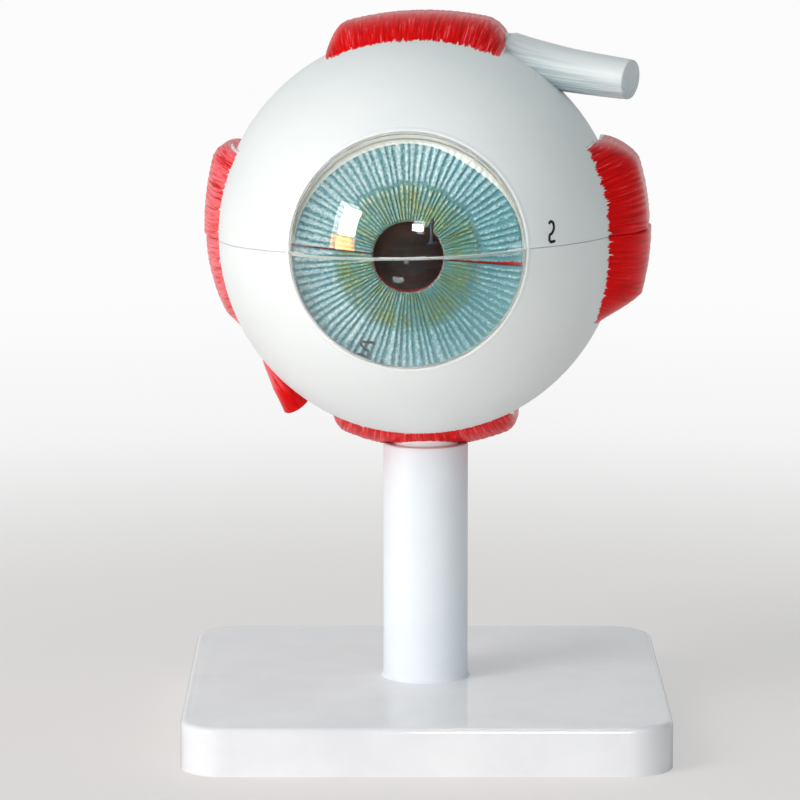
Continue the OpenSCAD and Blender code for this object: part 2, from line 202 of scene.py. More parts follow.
post_outline = [
    (PIN_BORE_R, PLATE_T), (POST_R + FOOT_FLARE, PLATE_T), (POST_R + FOOT_FLARE / 2, PLATE_T + FOOT_H / 4),
    (POST_R + FOOT_FLARE / 8, PLATE_T + FOOT_H / 2), (POST_R, PLATE_T + FOOT_H),
    (POST_R, POST_TOP - TOP_EDGE), (POST_R - 0.1, POST_TOP - 0.1), (POST_R - TOP_EDGE, POST_TOP),
    (CUP_R + TOP_EDGE, POST_TOP), (CUP_R + 0.1, POST_TOP - 0.1), (CUP_R, POST_TOP - TOP_EDGE),
    (CUP_R, CUP_FLOOR), (PIN_BORE_R, CUP_FLOOR)]

# The same ABS, left satin by fine sanding marks round it, so it mirrors nothing sharply.
satin_abs, add = new_material("white_abs_sanded")
here = add("TexCoord").outputs["Object"]
clouds = add("TexNoise", {"Vector": here, "Scale": 70, "Detail": 3})
tint = add("ValToRGB", {"Fac": clouds}, stops=[(0.35, "#eaeff4"), (0.65, "#eff4f9")])
ring_map = add("Mapping", {"Vector": here, "Scale": (300, 300, 2500)})
sanding = add("TexNoise", {"Vector": ring_map, "Scale": 1, "Detail": 2})
fine_marks = add("Bump", {"Height": sanding, "Strength": 0.04, "Distance": 0.00005})
add("OutputMaterial", {"Surface": add("BsdfPrincipled", {
    "Base Color": tint, "Normal": fine_marks, "Roughness": 0.42, "IOR": 1.5, "Specular IOR Level": 0.1})})
make_piece("post_moulding", lathe(post_outline, 128), TO_METRES, "stand", [satin_abs],
           ["post"])

# ---- Screw and pin ----
# The screw that holds the post from below is zinc-plated steel. The pin that the eyeball turns on,
# and the four locating pins in the shell's seam, are plain white plastic.

# Zinc plating: bright, but dulled to a soft shine by the fine grain of the coat.
zinc_steel = mottled("zinc_plated_steel", 900, 3, (0.3, "#a9adb2"), (0.7, "#c3c7ca"),
                     {"Metallic": 1, "Roughness": 0.3})
# Moulded nylon: off-white and without gloss.
pin_plastic = mottled("white_nylon", 1500, 2, (0.3, "#e2e2e2"), (0.7, "#eeeeec"), {"Roughness": 0.45})

for node, material in {"post_screw": zinc_steel, "swivel_pin": pin_plastic,
                       "seam_dowels": pin_plastic}.items():
    for material_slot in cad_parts[node].material_slots:
        material_slot.material = material

# ---- White shell ----
# The sclera is two half balls of white vinyl-like plastic, satin from a blasted tool, that part along
# the level of the pupil. A seat round the front opening takes the cornea. Red paint is brushed by hand
# over the muscles' front edges and a little on to the shell.

HALVES = {"lower": False, "upper": True}    # each half's name, and whether it is the upper one
EYE_R = 37.7
SHELL_WALL = 2.2
SHELL_SEAM = 0.1
SEAM_EDGE = 0.12                   # how far the edges along a seam are softened
EYE_LEFT = 1.2
EYE_ABOVE_POST = 1.9
EYE_YAW, EYE_PITCH, EYE_ROLL = 4.4, 1.2, 1.4
CORNEA_RIM_R = 21.6
CORNEA_SEAT = 1.3
SEAT_R = CORNEA_RIM_R + 0.1
OPENING_R = 20.9
RIM_Y = math.sqrt(EYE_R ** 2 - CORNEA_RIM_R ** 2)
STEM_R = 6.4
STEM_TOP = POST_TOP + EYE_ABOVE_POST + SHELL_WALL / 2
EYE_Z = POST_TOP + EYE_ABOVE_POST + EYE_R
SHELL_WHITE = "#f3f6f6"
SHELL_WHITE_DULL = "#eff3f3"
PAINT_RED = "#ea0104"
PAINT_BRIGHT = "#f6070a"
PAINT_DEEP = "#c60103"
PAINT_THIN_AND_HIGHLIGHT = "#fa7880"

EYE = (TO_METRES @ Matrix.Translation((-EYE_LEFT, 0, EYE_Z)) @ Matrix.Rotation(math.radians(-EYE_YAW), 4, "Z")
       @ Matrix.Rotation(math.radians(-EYE_PITCH), 4, "X") @ Matrix.Rotation(math.radians(-EYE_ROLL), 4, "Y"))
FACE_FORWARD = Matrix.Rotation(math.radians(90), 4, "X")    # turns a lathed piece's +Z to the gaze, -Y

# Each straight muscle's turn is its middle, in degrees from the nose towards the top. Its other values go
# across it from side to side: how far the paint reaches ahead of the eye's centre, its height over the shell,
# where its shoulders begin, how round they are (1 is a straight slope, 2 a quarter circle), and how thin its
# paint is. On the lateral strap the thinness is also a painted highlight: its pink stands partly for the
# light on its lit side.
MUSCLES = {
    "superior_rectus": {"turn": 90, "paint": (8.0, 9.1, 7.5), "height": (4.8, 3.48, 3.48, 4.7),
                        "shoulder": (0.68, 0.74), "roundness": (1.6, 1.2), "thin_paint_and_highlight": (0.6, 0.2, 0.22)},
    # the lateral strap's high thinness is partly a painted highlight: its pink stands for its lit side
    "lateral_rectus": {"turn": 180, "paint": (9.0, 6.5, 5.5), "height": (4.5, 3.65, 3.3, 2.4),
                       "shoulder": (0.76, 0.8), "roundness": (2, 1.5), "thin_paint_and_highlight": (0.7, 0.85, 0.85)},
    "inferior_rectus": {"turn": 270, "paint": (6.0, 9.2, 5.0), "height": (3.4, 3.3, 3.3, 4.2),
                        "shoulder": (0.82, 0.8), "roundness": (2, 2), "thin_paint_and_highlight": (0.5, 0.3, 0.42)},
    "medial_rectus": {"turn": 0, "paint": (8.4, 11.6, 11.0), "height": (5.5, 5.5, 5.2, 5.4),
                      "shoulder": (0.62, 0.64), "roundness": (1.05, 1.3), "thin_paint_and_highlight": (0.08, 0.0, 0.3)},
}
MUSCLE_HALF = 26.5
PAINT_HALF = 26.7
MUSCLE_BACK = 15
UNPAINTED = -9


def across(values, share):
    """A muscle's value at a share of its half width: the middle's, turning to an end's towards the side
    edge."""
    share = max(-1, min(1, share))
    middle = values[(len(values) - 1) // 2] if share < 0 else values[len(values) // 2]
    end = values[0] if share < 0 else values[-1]
    return middle + (end - middle) * share ** 2


def nearest_muscle(point):
    """The number of the muscle that a point of the eye's own frame is nearest to, and its degrees from the
    middle."""
    clock = math.degrees(math.atan2(point.z, point.x))
    clocks = [(clock - muscle["turn"] + 180) % 360 - 180 for muscle in MUSCLES.values()]
    number = min(range(len(clocks)), key=lambda n: abs(clocks[n]))
    return number, clocks[number]


def mark_paint(bm):
    """Writes on each point how deep inside the paint's edge it lies, in millimetres, where it lies across and
    along the brush strokes, and how thin the paint is there, which on the lateral strap is also a painted
    highlight. The piece is still in the eye's own frame."""
    depths = bm.verts.layers.float.new("paint_depth")
    strokes = bm.verts.layers.float_vector.new("stroke")
    thin_paint_and_highlight_levels = bm.verts.layers.float.new("thin_paint_and_highlight")
    for v in bm.verts:
        number, clock = nearest_muscle(v.co)
        muscle = list(MUSCLES.values())[number]
        share = clock / MUSCLE_HALF
        side = math.radians(PAINT_HALF - abs(clock)) * EYE_R
        depth = min(side, v.co.y + across(muscle["paint"], share), MUSCLE_BACK + 0.8 - v.co.y)
        v[depths] = max(UNPAINTED, depth) if v.co.length > EYE_R - SHELL_WALL / 2 else UNPAINTED
        v[strokes] = (math.radians(clock) * EYE_R + 60 * number, v.co.y, 0)
        v[thin_paint_and_highlight_levels] = across(muscle["thin_paint_and_highlight"], share)


def arc(radius, middle, start, end, steps):
    """Points of (radius, height) on a ball round the axis, from one polar angle to another in radians."""
    angles = [start + (end - start) * n / steps for n in range(steps + 1)]
    return [(abs(radius * math.sin(a)) if 1e-9 < a < math.pi - 1e-9 else 0, middle + radius * math.cos(a))
            for a in angles]


def half_turn(outline, upper, seam, steps):
    """Half of a turned piece, above or below its seam, with softened seam edges."""
    bm = lathe(outline, steps, 180 if upper else -180)
    bm.transform(FACE_FORWARD)
    caps = [f for f in bm.faces if all(abs(v.co.z) < 1e-4 for v in f.verts)]
    edges = {e for f in caps for e in f.edges if max(math.hypot(v.co.x, v.co.z) for v in e.verts) > 1}
    bevel_edges(bm, list(edges), SEAM_EDGE, 2)
    bmesh.ops.translate(bm, verts=bm.verts, vec=(0, 0, seam / 2 if upper else -seam / 2))
    return bm


# Satin plastic under hand-brushed red enamel. The strokes run back along the muscle in bristle marks of a
# quarter and half a millimetre. They end ragged in teeth, and where the paint is thin the white shows through
# as pink. The lateral strap's pink is partly a painted highlight for the light on its side.
painted_shell, add = new_material("satin_vinyl_with_red_enamel_and_painted_highlight")
here = add("TexCoord").outputs["Object"]
stroke_place = add("Attribute", attribute_name="stroke").outputs["Vector"]
depth = add("Attribute", attribute_name="paint_depth").outputs["Fac"]
thin_paint_and_highlight = add("Attribute", attribute_name="thin_paint_and_highlight").outputs["Fac"]
marks = {}
for mark, width, length, detail in (("tooth", 0.7, 30, 2), ("stroke", 0.55, 9, 3), ("hair", 0.22, 5, 2)):
    stretched = add("Mapping", {"Vector": stroke_place, "Scale": (width, length, 1)}, vector_type="TEXTURE")
    marks[mark] = add("TexNoise", {"Vector": stretched, "Scale": 1, "Detail": detail, "Roughness": 0.6})
toothed = add("Math", {0: marks["tooth"], 1: 4.6, 2: depth}, operation="MULTIPLY_ADD")
frayed = add("Math", {0: marks["hair"], 1: 2.4, 2: toothed}, operation="MULTIPLY_ADD")
painted = add("MapRange", {
    "Value": frayed, "From Min": 3.5, "From Max": 3.8}, interpolation_type="SMOOTHSTEP")
bristles = add("Math", {0: marks["hair"], 1: marks["stroke"]}, operation="ADD")
# pale pink where the paint is thin, which on the lateral strap is partly a painted highlight
dryness_and_highlight = add("Math", {0: thin_paint_and_highlight, 1: 0.44, 2: bristles}, operation="MULTIPLY_ADD")
pale_paint_and_highlight = add("MapRange", {
    "Value": dryness_and_highlight, "From Min": 1.16, "From Max": 1.46, "To Min": 0,
    "To Max": 0.85}, interpolation_type="SMOOTHSTEP")
pool = add("ValToRGB", {
    "Fac": marks["stroke"]}, stops=[(0.32, PAINT_DEEP), (0.5, PAINT_RED), (0.68, PAINT_BRIGHT)])
brushed = add("Mix", {0: pale_paint_and_highlight, 6: pool, 7: linear(PAINT_THIN_AND_HIGHLIGHT)}, data_type="RGBA")
blotch = add("TexNoise", {"Vector": here, "Scale": 60, "Detail": 3})
plastic = add("ValToRGB", {"Fac": blotch}, stops=[(0.3, SHELL_WHITE_DULL), (0.7, SHELL_WHITE)])
skin = add("Mix", {0: painted, 6: plastic, 7: brushed.outputs[2]}, data_type="RGBA")
sheen = add("MapRange", {"Value": painted, "To Min": 0.38, "To Max": 0.3})
ground = add("TexNoise", {"Vector": here, "Scale": 1400, "Detail": 2})
grain = add("Math", {0: ground, 1: 0.3}, operation="MULTIPLY")
paint_ridge = add("Math", {0: marks["hair"], 1: painted, 2: grain}, operation="MULTIPLY_ADD")
relief = add("Bump", {"Height": paint_ridge, "Strength": 0.12, "Distance": 0.0002})
add("OutputMaterial", {"Surface": add("BsdfPrincipled", {
    "Base Color": skin.outputs[2], "Roughness": sheen, "Normal": relief, "IOR": 1.5,
    "Specular IOR Level": 0.12})})

shell_outline = (arc(EYE_R, 0, math.asin(SEAT_R / EYE_R), math.pi, 96)
                 + arc(EYE_R - SHELL_WALL, 0, math.pi, math.asin(OPENING_R / (EYE_R - SHELL_WALL)), 72)
                 + [(OPENING_R, RIM_Y - CORNEA_SEAT), (SEAT_R, RIM_Y - CORNEA_SEAT)])
for side, upper in HALVES.items():
    shell = half_turn(shell_outline, upper, SHELL_SEAM, 128)
    mark_paint(shell)
    if not upper:
        stem = lathe([(PIN_BORE_R, CUP_FLOOR), (STEM_R, CUP_FLOOR), (STEM_R, STEM_TOP),
                      (PIN_BORE_R, STEM_TOP)], 96)
        stem.transform(EYE.inverted() @ TO_METRES)
        join(shell, stem)
    make_piece(f"{side}_shell", shell, EYE, f"{side}_eyeball", [painted_shell],
               [f"{side}_sclera"])

# ---- Straight muscles ----
# Four straps, moulded in the same white plastic as the shell and glued or moulded on to it. Each rises from
# the shell behind its front edge, has rounded shoulders and lengthwise fibres, and is brushed over with red
# enamel. The nasal and the temporal strap are cut through at the shell's seam.

MUSCLE_RAMP = 13
PAINT_AHEAD = 0.6                  # how far the paint reaches past a strap's front edge, on to the shell
FIBRE_PITCH = 1.15
FIBRE_H = 0.08
FIBRE_WAVER = 1.4                  # how many pitches the fibres wander aside
SKIN = 0.05                        # the least thickness of a strap, and its gap from the shell
SUNK = -0.4                        # its floor ahead of the eye's middle, inside the shell
SEAM_GROOVE_W = 0.35
SEAM_GROOVE_D = 0.25
BACK_ROUND = 1.2
RIM_GAP = 0.4                      # between the lower strap and the post's rim


def strap(muscle, seed):
    """A strap in the eye's own frame, as an outer and an inner sheet with walls between them."""
    bm = bmesh.new()
    bmesh.ops.create_grid(bm, x_segments=160, y_segments=90, size=1)
    raised = bmesh.ops.extrude_face_region(bm, geom=bm.faces[:])["geom"]
    outer = {g for g in raised if isinstance(g, bmesh.types.BMVert)}
    for v in bm.verts:
        share = v.co.x
        front = across(muscle["paint"], share) - PAINT_AHEAD
        back = -front + (MUSCLE_BACK + front) * (v.co.y + 1) / 2
        globe = math.sqrt(EYE_R ** 2 - min(back, 0) ** 2)
        start, power = muscle["shoulder"][share > 0], muscle["roundness"][share > 0]
        over = max(0, min(1, (abs(share) - start) / (1 - start)))
        shoulder = (1 - over ** power) ** (1 / power)
        ramp = math.sin(math.pi / 2 * min(1, (back + front) / MUSCLE_RAMP))
        lift = (EYE_R + across(muscle["height"], share) - globe) * ramp
        end = max(0, min(1, (MUSCLE_BACK - back) / BACK_ROUND))
        lift -= BACK_ROUND * (1 - math.sqrt(1 - (1 - end) ** 2))
        arc_mm = math.radians(MUSCLE_HALF * share) * EYE_R
        waver = noise.noise(Vector((arc_mm * 0.35, back * 0.05, seed)))
        fibre = 0.5 + 0.5 * math.cos(2 * math.pi * (arc_mm / FIBRE_PITCH + FIBRE_WAVER * waver))
        floor = SKIN if back > -1 else SUNK
        top = lift * shoulder - FIBRE_H * fibre * min(1, lift) * shoulder
        radius = globe + (max(top, floor + SKIN) if v in outer else floor)
        clock = math.radians(muscle["turn"] + MUSCLE_HALF * share)
        height = radius * math.sin(clock)
        if v in outer and abs(height) < SEAM_GROOVE_W:
            radius -= min(SEAM_GROOVE_D, max(0, radius - globe)) * (1 - abs(height) / SEAM_GROOVE_W)
        v.co = (radius * math.cos(clock), back, radius * math.sin(clock))
    bmesh.ops.recalc_face_normals(bm, faces=bm.faces)
    return bm


def cut_at_seam(bm, keep_upper):
    """Cuts a piece at the shell's seam and closes the cut with a flat face."""
    seam = (0, 0, SHELL_SEAM / 2 if keep_upper else -SHELL_SEAM / 2)
    cut = bmesh.ops.bisect_plane(bm, geom=bm.verts[:] + bm.edges[:] + bm.faces[:], plane_co=seam,
                                 plane_no=(0, 0, 1), clear_inner=keep_upper, clear_outer=not keep_upper,
                                 dist=1e-5)
    rim = [e for e in cut["geom_cut"] if isinstance(e, bmesh.types.BMEdge)]
    bmesh.ops.holes_fill(bm, edges=rim, sides=0)


for seed, (name, muscle) in enumerate(MUSCLES.items()):
    halves = ["upper", "lower"] if muscle["turn"] % 180 == 0 else [""]
    for half in halves:
        strip = strap(muscle, seed)
        if half:
            cut_at_seam(strip, half == "upper")
        mark_paint(strip)
        if name == "inferior_rectus":
            # the strap leaves room for the post's rim
            for v in strip.verts:
                world = EYE @ v.co / 0.001
                if math.hypot(world.x, world.y) < POST_R + RIM_GAP and world.z < POST_TOP + RIM_GAP:
                    v.co = EYE.inverted() @ (Vector((world.x, world.y, POST_TOP + RIM_GAP)) * 0.001)
        node = f"{half}_{name}" if half else name
        body = f"{half}_eyeball" if half else ("upper_eyeball"
                                               if name == "superior_rectus" else "lower_eyeball")
        make_piece(f"{node}_strap", strip, EYE, body, [painted_shell], [node])

# ---- Oblique muscles ----
# The upper oblique's tendon is a white stub, cut off square, with pale blue-grey strokes fanning from its
# root and a painted shade of the same blue-grey along its underside. The lower oblique is a red stub that
# fans on to the shell at its temporal side.


def on_eye(turn, back, out):
    """A place on the eye: degrees from the nose towards the top, degrees behind the middle, height over the
    shell."""
    turn, back = math.radians(turn), math.radians(back)
    outward = Vector((math.cos(back) * math.cos(turn), math.sin(back), math.cos(back) * math.sin(turn)))
    return outward * (EYE_R + out)


TENDON = [    # centres in the eye's frame, each with its radius up and down and its radius fore and aft
    (on_eye(68, 7, -0.8), (3.2, 6.0)), (on_eye(61.5, 8.4, -0.6), (4.8, 6.5)),
    (Vector((28.4, 0, 30.12)), (4.1, 4.5)), (on_eye(35.3, -6.5, 11.9), (3.7, 3.7))]
OBLIQUE = [    # the same, with its radius outwards first
    (on_eye(217.4, 0.5, -0.5), (0.6, 6.5)), (on_eye(226, 1.2, 0.6), (2.2, 6.6)),
    (on_eye(233.1, 2.8, 2.5), (2.9, 4.4))]
TENDON_EDGE = 0.3
OBLIQUE_EDGE = 1.1


def loft(stations, wide, sides, steps, levels=()):
    """A bar through stations of (centre, two radii), smoothed between them. Its second radius lies towards
    wide. Its points can hold a stroke place and the named levels."""
    bm = bmesh.new()
    bm.verts.layers.float_vector.new("stroke")
    for level in levels:
        bm.verts.layers.float.new(level)
    rings = []
    for n in range((len(stations) - 1) * steps + 1):
        i = min(n // steps, len(stations) - 2)
        t = n / steps - i
        (start, start_r), (end, end_r) = stations[i], stations[i + 1]
        before, after = stations[max(i - 1, 0)][0], stations[min(i + 2, len(stations) - 1)][0]
        lead_in, lead_out = (end - before) / 2, (after - start) / 2
        centre = (start * (2 * t ** 3 - 3 * t ** 2 + 1) + lead_in * (t ** 3 - 2 * t ** 2 + t)
                  + end * (-2 * t ** 3 + 3 * t ** 2) + lead_out * (t ** 3 - t ** 2))
        tangent = (start * (6 * t ** 2 - 6 * t) + lead_in * (3 * t ** 2 - 4 * t + 1)
                   + end * (-6 * t ** 2 + 6 * t) + lead_out * (3 * t ** 2 - 2 * t)).normalized()
        broad = (wide - tangent * wide.dot(tangent)).normalized()
        turned = Matrix((tangent.cross(broad) * (start_r[0] + (end_r[0] - start_r[0]) * t),
                         broad * (start_r[1] + (end_r[1] - start_r[1]) * t), tangent)).transposed().to_4x4()
        ring = bmesh.ops.create_circle(bm, segments=sides, radius=1,
                                       matrix=Matrix.Translation(centre) @ turned)
        rings.append(ring["verts"])
    for ring, following in zip(rings, rings[1:]):
        loops = {e for v in ring + following for e in v.link_edges if not e.link_faces or e.is_boundary}
        loops = [e for e in loops if len({v in ring for v in e.verts}) == 1]
        bmesh.ops.bridge_loops(bm, edges=loops)
    for ring in (rings[0], rings[-1]):
        bmesh.ops.contextual_create(bm, geom=[e for e in {e for v in ring for e in v.link_edges}
                                              if e.is_boundary])
    bmesh.ops.recalc_face_normals(bm, faces=bm.faces)
    return bm, rings


def round_end(bm, ring, width, segments):
    bevel_edges(bm, [e for e in bm.edges if e.verts[0] in ring and e.verts[1] in ring], width, segments)


# Satin plastic with thin blue-grey strokes that run out from the root. Along the underside they grow stronger
# and darker, which is painted shade.
tendon_paint, add = new_material("satin_vinyl_with_blue_grey_strokes_and_painted_shade")
stroke_place = add("Attribute", attribute_name="stroke").outputs["Vector"]
wash_and_shade_level = add("Attribute", attribute_name="wash_and_painted_shade").outputs["Fac"]
lengthwise = add("Mapping", {"Vector": stroke_place, "Scale": (0.6, 12, 1)}, vector_type="TEXTURE")
stripes = add("TexNoise", {"Vector": lengthwise, "Scale": 1, "Detail": 3, "Roughness": 0.6})
streaky = add("MapRange", {
    "Value": stripes, "From Min": 0.62, "From Max": 0.38, "To Min": 0.1,
    "To Max": 1}, interpolation_type="SMOOTHSTEP")
wash_and_shade_amount = add("Math", {0: streaky, 1: wash_and_shade_level}, operation="MULTIPLY", use_clamp=True)
wash_and_painted_shade = add("ValToRGB", {"Fac": wash_and_shade_amount}, stops=[(0, "#dfe4e5"), (0.4, "#bccbd0"), (1, "#92adb7")])
stripe_relief = add("Bump", {"Height": stripes, "Strength": 0.15, "Distance": 0.0003})
add("OutputMaterial", {"Surface": add("BsdfPrincipled", {
    "Base Color": wash_and_painted_shade, "Normal": stripe_relief, "Roughness": 0.36, "IOR": 1.5,
    "Specular IOR Level": 0.25})})

FORE_AND_AFT = Vector((0, 1, 0))
SIDES = 48
STEPS = 16
tendon, rings = loft(TENDON, FORE_AND_AFT, SIDES, STEPS, ["wash_and_painted_shade"])
strokes = tendon.verts.layers.float_vector["stroke"]
wash_and_shade_levels = tendon.verts.layers.float["wash_and_painted_shade"]
for number, ring in enumerate(rings):
    centre = sum((v.co for v in ring), Vector()) / SIDES
    out = number / (len(rings) - 1)
    for v in ring:
        spoke = (v.co - centre).normalized()
        v[strokes] = (5 * math.atan2(spoke.y, spoke.z), 30 * out, 0)
        # the wash is strongest at the root, and stronger on the underside as painted shade
        v[wash_and_shade_levels] = max(0, 1 - 0.9 * out - 0.6 * spoke.z)
round_end(tendon, rings[-1], TENDON_EDGE, 2)
cut_face = max(tendon.faces, key=lambda f: f.calc_center_median().x)
for v in cut_face.verts:
    v[wash_and_shade_levels] = 0.3
    v[strokes] = (0, 0, 0)
make_piece("superior_oblique_stub", tendon, EYE, "upper_eyeball", [tendon_paint],
           ["superior_oblique_tendon"])

oblique, rings = loft(OBLIQUE, FORE_AND_AFT, SIDES, STEPS, ["paint_depth", "thin_paint_and_highlight"])
depths = oblique.verts.layers.float["paint_depth"]
strokes = oblique.verts.layers.float_vector["stroke"]
thin_paint_and_highlight_levels = oblique.verts.layers.float["thin_paint_and_highlight"]
for number, ring in enumerate(rings):
    out = number / (len(rings) - 1)
    for place, v in enumerate(ring):
        v[depths] = MUSCLE_RAMP
        v[strokes] = (0.45 * place, 14 * out, 300)
        v[thin_paint_and_highlight_levels] = max(0.05, 1.5 - 2.1 * out)
round_end(oblique, rings[-1], OBLIQUE_EDGE, 4)
make_piece("inferior_oblique_stub", oblique, EYE, "lower_eyeball", [painted_shell],
           ["inferior_oblique"])

# ---- Optic nerve ----
# A short cream stub at the back with the artery and the vein showing in its cut end.

NERVE_R = 4.2
NERVE_END = 44.5
NERVE_NASAL = 10
NERVE_LOW = 5.8

# Brushed enamels: the nerve's is mottled where the coat is thin, the vessels' is dark and glossier.
nerve_paint = mottled("cream_enamel", 260, 3, (0.35, "#e3cf9c"), (0.65, "#f0e2bd"), {"Roughness": 0.4})
vessel_paint = mottled("vessel_enamel", 700, 2, (0.35, "#a80f14"), (0.65, "#c9181d"), {"Roughness": 0.35})
nerve_root = math.sqrt(EYE_R ** 2 - (NERVE_NASAL + NERVE_R) ** 2 - NERVE_LOW ** 2) - 1
nerve = lathe([(0, nerve_root), (NERVE_R + 0.8, nerve_root), (NERVE_R + 0.25, nerve_root + 2.2),
               (NERVE_R, nerve_root + 4), (NERVE_R, NERVE_END - 0.4), (NERVE_R - 0.12, NERVE_END - 0.12),
               (NERVE_R - 0.4, NERVE_END), (0, NERVE_END)], 64)
nerve.transform(Matrix.Translation((NERVE_NASAL, 0, -NERVE_LOW)) @ Matrix.Rotation(math.radians(-90), 4, "X"))
make_piece("optic_nerve_stub", nerve, EYE, "lower_eyeball", [nerve_paint], ["optic_nerve"])
for material_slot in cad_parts["central_vessels"].material_slots:
    material_slot.material = vessel_paint

# ---- Cornea ----
# A dome of clear acrylic in two halves, each standing with its rim in the shell's seat.

DOME_R = 24.1
DOME_WALL = 1.8
RIM_WALL = 0.8                     # the wall thins towards the rim
LEDGE_DEPTH = 2.8                  # a ledge inside the lower half's cut keeps the two halves in line
LEDGE_T = 0.4
LEDGE_LAP = 0.3                    # how far it reaches into the dome's wall
DOME_MID = RIM_Y - math.sqrt(DOME_R ** 2 - CORNEA_RIM_R ** 2)


def clear_plastic(name, tint):
    """Clear polished acrylic. Lamps reach what lies behind it, as they do through a thin clear wall."""
    material, add = new_material(name)
    here = add("TexCoord").outputs["Object"]
    smear = add("TexNoise", {"Vector": here, "Scale": 90, "Detail": 4})
    haze = add("MapRange", {"Value": smear, "From Min": 0.45, "From Max": 0.8, "To Min": 0.0, "To Max": 0.06})
    acrylic = add("BsdfPrincipled", {
        "Roughness": haze, "Base Color": linear(tint), "IOR": 1.49, "Transmission Weight": 1})
    open_air = add("BsdfTransparent", {"Color": linear(tint)})
    ray = add("LightPath")
    both = add("MixShader", {0: ray.outputs["Is Shadow Ray"], 1: acrylic, 2: open_air})
    add("OutputMaterial", {"Surface": both})
    return material


clear_acrylic = clear_plastic("clear_acrylic", "#f7fafa")

# The faces along the seam are sawn and only lightly sanded, so they are frosted and catch the light.
sawn_acrylic = mottled("sawn_acrylic", 1800, 2, (0.3, "#dfe5e5"), (0.7, "#f2f5f5"),
                       {"Roughness": 0.6, "IOR": 1.49, "Transmission Weight": 0.3})

# The rim is bonded into the shell's seat with white solvent cement that has crept up its sides.
cement = mottled("white_solvent_cement", 500, 3, (0.35, "#e4e6e2"), (0.65, "#f3f4f1"), {"Roughness": 0.4})

# The shell's lip is unpainted satin plastic like the rest of it.
lip_plastic = mottled("satin_vinyl", 60, 3, (0.3, SHELL_WHITE_DULL), (0.7, SHELL_WHITE),
                      {"Roughness": 0.38, "IOR": 1.5, "Specular IOR Level": 0.12})

LIP_W = 0.75                       # the low raised lip of the shell round the cornea
LIP_H = 0.1
inner_rim = CORNEA_RIM_R - RIM_WALL
inner_rise = DOME_MID + DOME_R - DOME_WALL - RIM_Y
inner_r = (inner_rim ** 2 + inner_rise ** 2) / (2 * inner_rise)
inner_mid = RIM_Y + inner_rise - inner_r
outer_angle = math.asin(CORNEA_RIM_R / DOME_R)
inner_angle = math.asin(inner_rim / inner_r)
dome_outline = (arc(DOME_R, DOME_MID, 0, outer_angle, 48)
                + [(CORNEA_RIM_R, RIM_Y - CORNEA_SEAT), (inner_rim, RIM_Y - CORNEA_SEAT)]
                + arc(inner_r, inner_mid, inner_angle, 0, 48))
for side, upper in HALVES.items():
    dome = half_turn(dome_outline, upper, SHELL_SEAM, 128)
    for face in dome.faces:
        middle = face.calc_center_median()
        if abs(middle.z) < SHELL_SEAM:
            face.material_index = 1
        elif -middle.y < RIM_Y and (upper or abs(face.normal.y) < 0.5):
            face.material_index = 2
    make_piece(f"{side}_dome", dome, EYE, f"{side}_eyeball",
               [clear_acrylic, sawn_acrylic, cement], [f"{side}_cornea"])
    lip_outline = [(r, math.sqrt(EYE_R ** 2 - r ** 2) + LIP_H
                    * math.sin(math.pi * (r - CORNEA_RIM_R) / LIP_W))
                   for r in (CORNEA_RIM_R + LIP_W * n / 8 for n in range(9))]
    lip_outline += [(CORNEA_RIM_R + LIP_W, RIM_Y - 1), (CORNEA_RIM_R, RIM_Y - 1)]
    lip = half_turn(lip_outline, upper, SHELL_SEAM, 128)
    make_piece(f"{side}_rim_lip", lip, EYE, f"{side}_eyeball", [lip_plastic])

# The ledge is a thin crescent in the plane of the seam, from the dome's inner face back towards the iris.
ledge = bmesh.new()
ledge_end = inner_rim - 0.1
front_line = [(ledge_end * (n / 24 - 1), inner_r, inner_mid) for n in range(49)]
back_rise = inner_rise - LEDGE_LAP + LEDGE_DEPTH
back_r = (ledge_end ** 2 + back_rise ** 2) / (2 * back_rise)
back_mid = inner_mid + inner_r - LEDGE_LAP - back_r
back_line = [(-x, back_r, back_mid) for x, _, _ in front_line[1:-1]]
corners = [ledge.verts.new((x, -middle - math.sqrt(bend ** 2 - x ** 2), -SHELL_SEAM / 2))
           for x, bend, middle in front_line + back_line]
top = ledge.faces.new(corners)
raised = bmesh.ops.extrude_face_region(ledge, geom=[top])["geom"]
bmesh.ops.translate(ledge, verts=[g for g in raised if isinstance(g, bmesh.types.BMVert)],
                    vec=(0, 0, -LEDGE_T))
bmesh.ops.recalc_face_normals(ledge, faces=ledge.faces)
make_piece("lower_dome_ledge", ledge, EYE, "lower_eyeball", [sawn_acrylic])

# ---- Inner ball ----
# The choroid is a thinner ball inside the white one, sitting loose in it: a little low and turned. It is
# painted dark red outside and on its cut edges, orange-red inside, and stays cream on its flat front ring.

UVEA_DROP = 0.7
UVEA_PITCH = 1.2
UVEA_ROLL = 6
UVEA_R = EYE_R - SHELL_WALL - 0.3 - UVEA_DROP
UVEA_WALL = 1.8
UVEA_SEAM = 0.1
UVEA_FRONT = RIM_Y - 4
FRONT_WALL = 1.2
UNPAINTED_EDGE = 2.6               # how far back from the front ring its outside stays cream
WINDOW_R = 11
UVEA = (EYE @ Matrix.Translation((0, 0, -UVEA_DROP)) @ Matrix.Rotation(math.radians(UVEA_PITCH), 4, "X")
        @ Matrix.Rotation(math.radians(UVEA_ROLL), 4, "Y"))


def enamel(name, low, high, scale, roughness):
    """Brushed enamel with a slight mottle."""
    material, add = new_material(name)
    here = add("TexCoord").outputs["Object"]
    mottle = add("TexNoise", {"Vector": here, "Scale": scale, "Detail": 4, "Roughness": 0.6})
    colour = add("ValToRGB", {"Fac": mottle}, stops=[(0.35, low), (0.65, high)])
    bump = add("Bump", {"Height": mottle, "Strength": 0.15, "Distance": 0.0002})
    add("OutputMaterial", {"Surface": add("BsdfPrincipled", {
        "Base Color": colour, "Normal": bump, "Roughness": roughness})})
    return material


